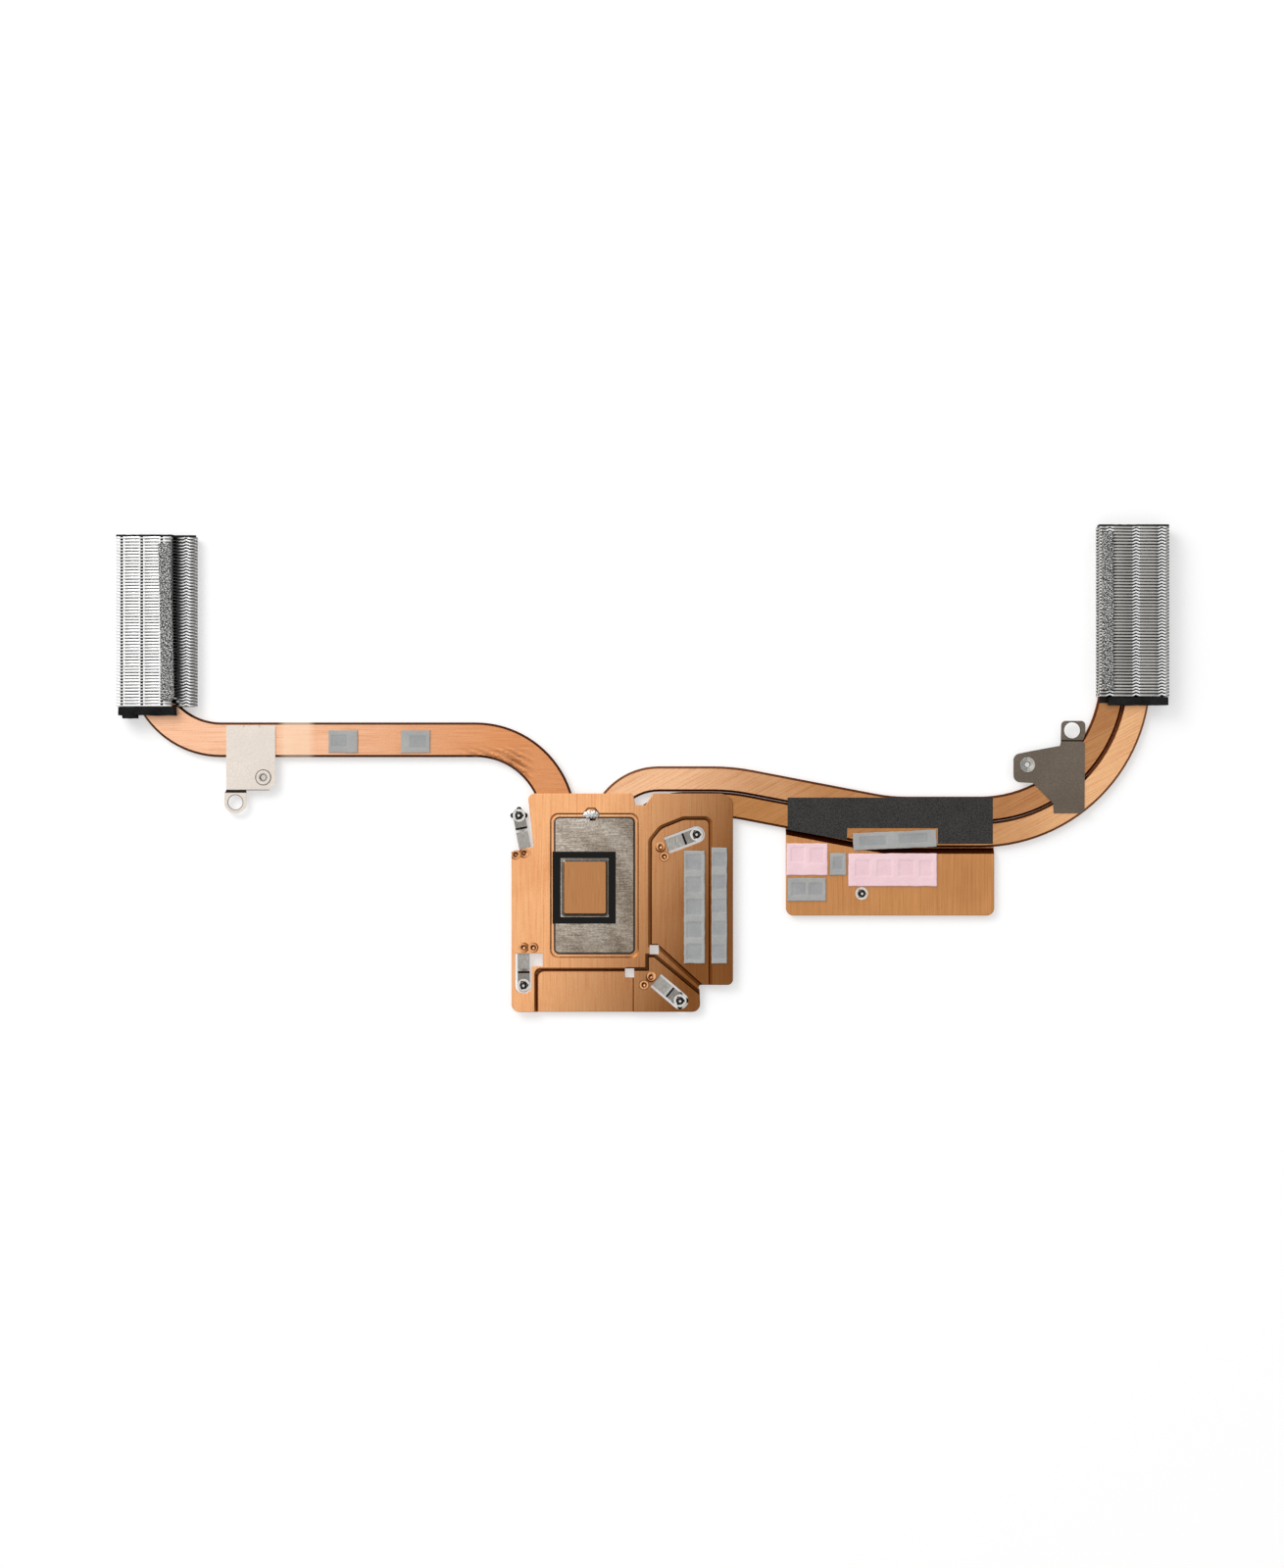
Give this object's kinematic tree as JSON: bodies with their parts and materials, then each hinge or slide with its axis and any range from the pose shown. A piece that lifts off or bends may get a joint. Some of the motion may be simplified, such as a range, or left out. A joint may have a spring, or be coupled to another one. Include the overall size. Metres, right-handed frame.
{
  "type": "laptop heatsink",
  "caption": "Laptop cooling heatsink: flattened copper heat pipes join a stamped base plate with a raised contact face and spring arms to finned aluminium ends.",
  "frame": {"origin": "middle of the raised contact face that meets the processor", "axes": "+Z out of the contact face, +X along the long side, +Y towards the finned ends"},
  "size_m": [0.3318, 0.1542, 0.0091],
  "materials": {
    "copper_plate": "stamped copper, satin, slightly tarnished",
    "heat_pipe": "drawn copper, satin",
    "contact_block": "nickel-plated copper, lapped",
    "aluminium_fin": "bare aluminium foil, satin",
    "arm_steel": "spring steel, satin",
    "bracket_light": "plated steel, satin",
    "bracket_dark": "dark plated steel, satin",
    "fastener_steel": "plated steel, satin",
    "rivet_copper": "copper, pressed",
    "clip_black": "black, matt",
    "black_film": "fine-textured black polyester film",
    "foam_gray": "speckled conductive foam",
    "foam_black": "black foam, matt",
    "tape_black": "thin black tape",
    "pad_gray": "soft thermal pad, matt",
    "pad_pink": "soft thermal pad, matt",
    "solder": "bright solder"
  },
  "bodies": {
    "root": {"base_plate": "copper_plate", "cpu_block": "contact_block", "contact_gasket": "black_film", "solder_bead": "solder", "arm_rivets": "rivet_copper", "cpu_screws": "fastener_steel", "vrm_screw": "fastener_steel", "screw_retainers": "fastener_steel", "lobed_clips": "clip_black", "left_heatpipe": "heat_pipe", "right_inner_heatpipe": "heat_pipe", "right_outer_heatpipe": "heat_pipe", "left_fin_stack": "aluminium_fin", "right_fin_stack": "aluminium_fin", "left_bracket": "bracket_light", "right_bracket": "bracket_dark", "left_bracket_nut": "fastener_steel", "right_bracket_nut": "fastener_steel", "vrm_plate": "copper_plate", "pipe_cover_film": "black_film", "spring_arm_ul": "arm_steel", "spring_arm_ur": "arm_steel", "spring_arm_ll": "arm_steel", "spring_arm_lr": "arm_steel", "left_foam_strip": "foam_gray", "right_foam_strip": "foam_gray", "left_end_foam": "foam_black", "right_end_foam": "foam_black", "left_end_tape": "tape_black", "right_end_tape": "tape_black", "inner_choke_pad": "pad_gray", "outer_choke_pad": "pad_gray", "left_pipe_pad_outer": "pad_gray", "left_pipe_pad_inner": "pad_gray", "notch_pad": "pad_gray", "pink_square_pad": "pad_pink", "pink_wide_pad": "pad_pink", "gray_small_pad": "pad_gray", "gray_corner_pad": "pad_gray"}
  },
  "joints": []
}
